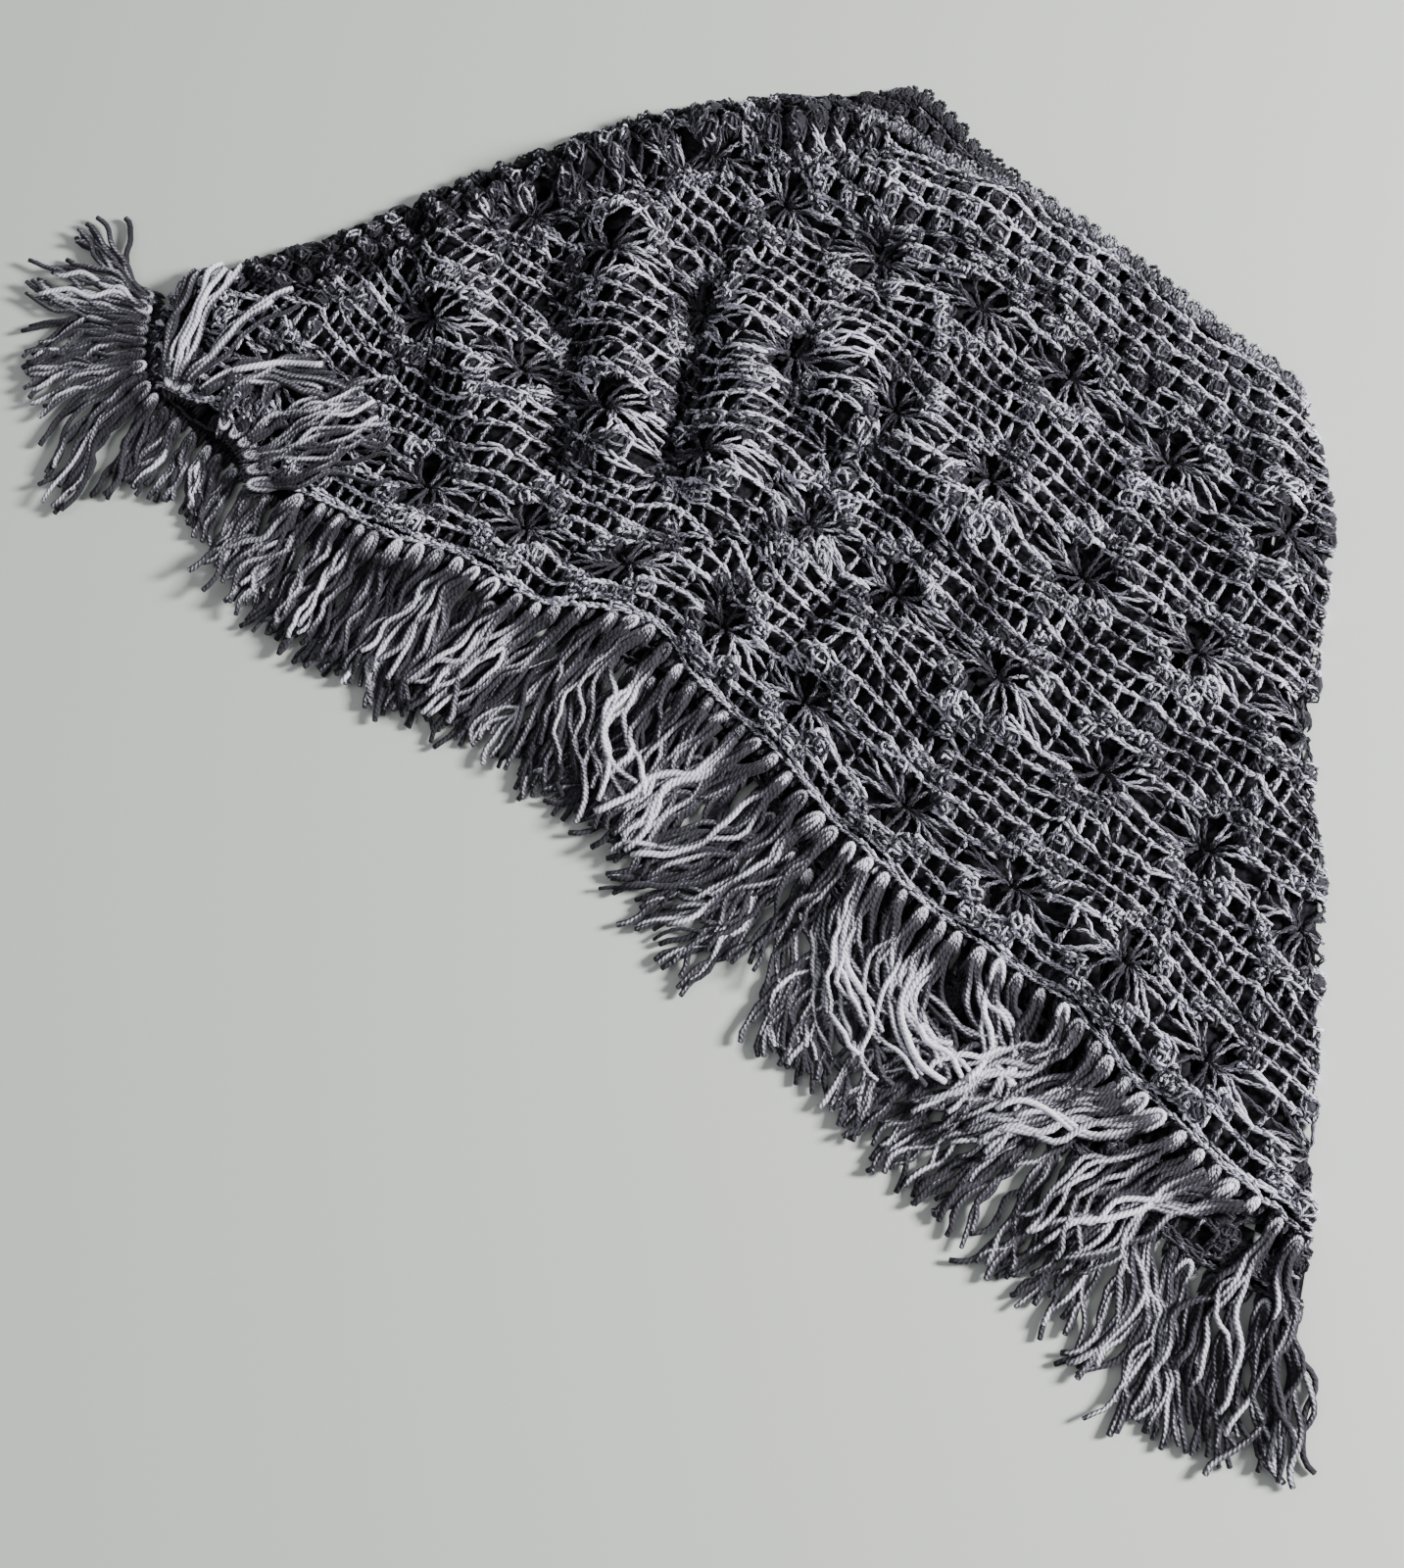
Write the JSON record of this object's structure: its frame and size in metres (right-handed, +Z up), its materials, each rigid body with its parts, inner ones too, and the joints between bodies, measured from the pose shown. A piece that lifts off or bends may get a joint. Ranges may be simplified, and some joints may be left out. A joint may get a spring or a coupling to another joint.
{
  "type": "crochet poncho",
  "caption": "Fringed crochet poncho of two mitred lace halves joined at side folds, laid flat, with a shell-edged neck.",
  "frame": {"origin": "middle of the underside of the whole poncho as it lies flat, fringe included", "axes": "+X along the crochet rows from the left fold to the right fold, +Y from hem to neck, +Z up from the floor"},
  "size_m": [0.7898, 0.4544, 0.027],
  "materials": {
    "crochet_yarn": "soft matt grey yarn worked in filet mesh, stars and bobbles",
    "edging_yarn": "soft matt grey yarn worked in shells",
    "fringe_yarn": "soft matt grey plied yarn, cut and knotted"
  },
  "bodies": {
    "root": {"panel_front": "crochet_yarn", "panel_back": "crochet_yarn", "neck_edging_front": "edging_yarn", "neck_edging_back": "edging_yarn", "fringe_front_1": "fringe_yarn", "fringe_front_2": "fringe_yarn", "fringe_front_3": "fringe_yarn", "fringe_front_4": "fringe_yarn", "fringe_front_5": "fringe_yarn", "fringe_front_6": "fringe_yarn", "fringe_front_7": "fringe_yarn", "fringe_front_8": "fringe_yarn", "fringe_front_9": "fringe_yarn", "fringe_back_1": "fringe_yarn", "fringe_back_2": "fringe_yarn", "fringe_back_3": "fringe_yarn", "fringe_back_4": "fringe_yarn", "fringe_back_5": "fringe_yarn", "fringe_back_6": "fringe_yarn", "fringe_back_7": "fringe_yarn", "fringe_tip": "fringe_yarn", "fringe_turned_1": "fringe_yarn", "fringe_turned_2": "fringe_yarn"}
  },
  "joints": []
}
